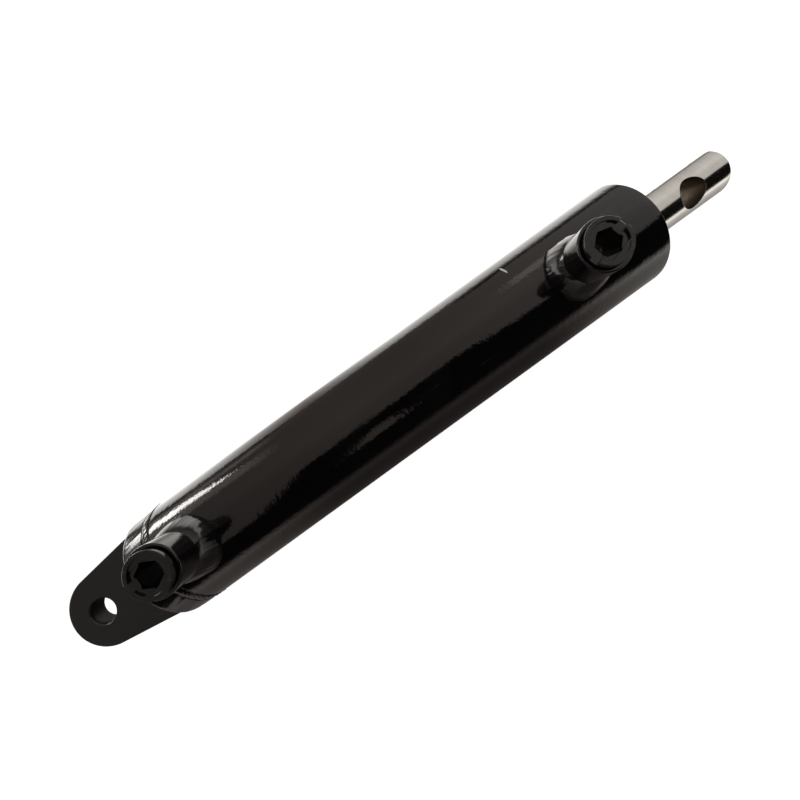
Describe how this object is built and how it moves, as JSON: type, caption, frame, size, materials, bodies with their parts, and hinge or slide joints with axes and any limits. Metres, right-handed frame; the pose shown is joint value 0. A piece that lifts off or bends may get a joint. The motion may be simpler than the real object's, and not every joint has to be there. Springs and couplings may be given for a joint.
{
  "type": "hydraulic cylinder",
  "caption": "Slim double-acting hydraulic cylinder: glossy black welded barrel, tapered eye lug at the cap end, plugged side ports and a cross-drilled chromed rod.",
  "frame": {"origin": "centre of the lug plate's pin hole, on the cylinder's axis", "axes": "+X along the cylinder's axis towards the rod's tip, +Z along the lug's pin, out of the ports, +Y completes a right-handed frame"},
  "size_m": [0.4352, 0.0604, 0.0861],
  "materials": {
    "black_paint": "gloss, slightly wavy, black",
    "weld_paint": "gloss black over a rippled weld bead",
    "lug_paint": "satin black over flame-cut plate",
    "plug_plastic": "satin moulded black",
    "hard_chrome": "polished hard chrome",
    "machined_steel": "turned",
    "ductile_iron": "turned cast iron",
    "zinc_plate": "bright zinc plate",
    "spring_steel": "phosphated spring steel",
    "seal_rubber": "nitrile rubber",
    "polyurethane": "blue polyurethane",
    "ptfe_bronze": "bronze-filled PTFE"
  },
  "bodies": {
    "barrel": {"barrel_tube": "black_paint", "end_cap": "black_paint", "end_cap_weld": "weld_paint", "lug_plate": "lug_paint", "lug_weld_upper": "weld_paint", "lug_weld_lower": "weld_paint", "cap_port_boss": "black_paint", "head_port_boss": "black_paint", "cap_port_weld": "weld_paint", "head_port_weld": "weld_paint", "gland": "machined_steel", "gland_seal": "seal_rubber", "gland_backup_ring": "ptfe_bronze", "rod_guide_ring": "ptfe_bronze", "rod_seal": "polyurethane", "wiper_seal": "polyurethane", "retaining_ring": "spring_steel"},
    "piston_rings": {"piston_seal": "polyurethane", "piston_wear_ring_rear": "ptfe_bronze", "piston_wear_ring_front": "ptfe_bronze"},
    "rod": {"rod": "hard_chrome", "piston": "ductile_iron", "piston_nut": "zinc_plate", "piston_bore_seal": "seal_rubber"},
    "cap_plug_ring": {"cap_plug_seal": "seal_rubber"},
    "cap_plug": {"cap_port_plug": "plug_plastic"},
    "head_plug_ring": {"head_plug_seal": "seal_rubber"},
    "head_plug": {"head_port_plug": "plug_plastic"}
  },
  "joints": [
    {"name": "rod_slide", "type": "slide", "parent": "barrel", "child": "piston_rings", "axis": [1, 0, 0], "range_m": [0, 0.2]},
    {"name": "rod_spin", "type": "hinge", "parent": "piston_rings", "child": "rod", "pos_m": [0, 0, 0], "axis": [1, 0, 0], "continuous": true},
    {"name": "cap_plug_lift", "type": "slide", "parent": "barrel", "child": "cap_plug_ring", "axis": [0, 0, 1], "range_m": [0, 0.0121]},
    {"name": "cap_plug_turn", "type": "hinge", "parent": "cap_plug_ring", "child": "cap_plug", "pos_m": [0.0763, 0, 0.0529], "axis": [0, 0, 1], "range_deg": [0, 3240]},
    {"name": "head_plug_lift", "type": "slide", "parent": "barrel", "child": "head_plug_ring", "axis": [0, 0, 1], "range_m": [0, 0.0121]},
    {"name": "head_plug_turn", "type": "hinge", "parent": "head_plug_ring", "child": "head_plug", "pos_m": [0.3065, 0, 0.0529], "axis": [0, 0, 1], "range_deg": [0, 3240]}
  ],
  "couplings": [
    {"joint": "cap_plug_lift", "follows": "cap_plug_turn", "m_per_rad": 0.00021279},
    {"joint": "head_plug_lift", "follows": "head_plug_turn", "m_per_rad": 0.00021279}
  ]
}
